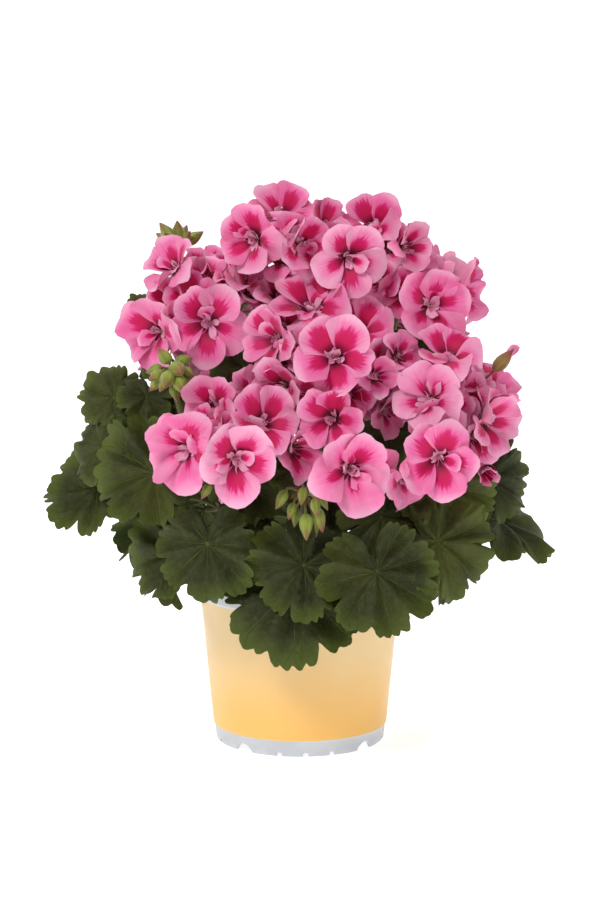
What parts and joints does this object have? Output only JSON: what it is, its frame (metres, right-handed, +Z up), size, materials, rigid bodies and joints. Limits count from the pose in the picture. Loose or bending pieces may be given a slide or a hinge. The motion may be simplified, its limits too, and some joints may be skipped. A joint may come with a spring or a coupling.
{
  "type": "potted geranium",
  "caption": "Flowering pot plant: lobed dark green leaves and round heads of pink double florets over a tapered plastic nursery pot filled with soil.",
  "frame": {"origin": "middle of the pot's foot, on the surface the pot stands on", "axes": "+Z up along the pot's axis; the front, as pictured, faces -Y; +X to the viewer's right"},
  "size_m": [0.2859, 0.2452, 0.3189],
  "materials": {
    "pot_plastic": "satin printed plastic with a plain cream to warm yellow gradient, pale grey rim and foot",
    "soil": "moist dark potting soil",
    "foliage": "soft matt leaf, dark green with lighter veins, and green stems",
    "petals": "soft petal, pink with a crimson blotch at the middle of each floret",
    "buds": "matt yellow-green bud with reddish tips"
  },
  "bodies": {
    "root": {"pot": "pot_plastic", "soil": "soil", "leafy_stem_front": "foliage", "leafy_stem_front_left": "foliage", "leafy_stem_left": "foliage", "leafy_stem_back_left": "foliage", "leafy_stem_back": "foliage", "leafy_stem_back_right": "foliage", "leafy_stem_right": "foliage", "leafy_stem_front_right": "foliage", "leafy_stem_centre": "foliage", "flower_head_top": "petals", "flower_head_upper_right": "petals", "flower_head_upper_left": "petals", "flower_head_centre": "petals", "flower_head_lower_left": "petals", "flower_head_lower_front": "petals", "flower_head_lower_right": "petals", "flower_head_back_left": "petals", "flower_head_back_right": "petals", "flower_head_back_low": "petals", "bud_cluster_top_left": "buds", "bud_cluster_left": "buds", "bud_cluster_front": "buds", "bud_cluster_lower_left": "buds"}
  },
  "joints": []
}
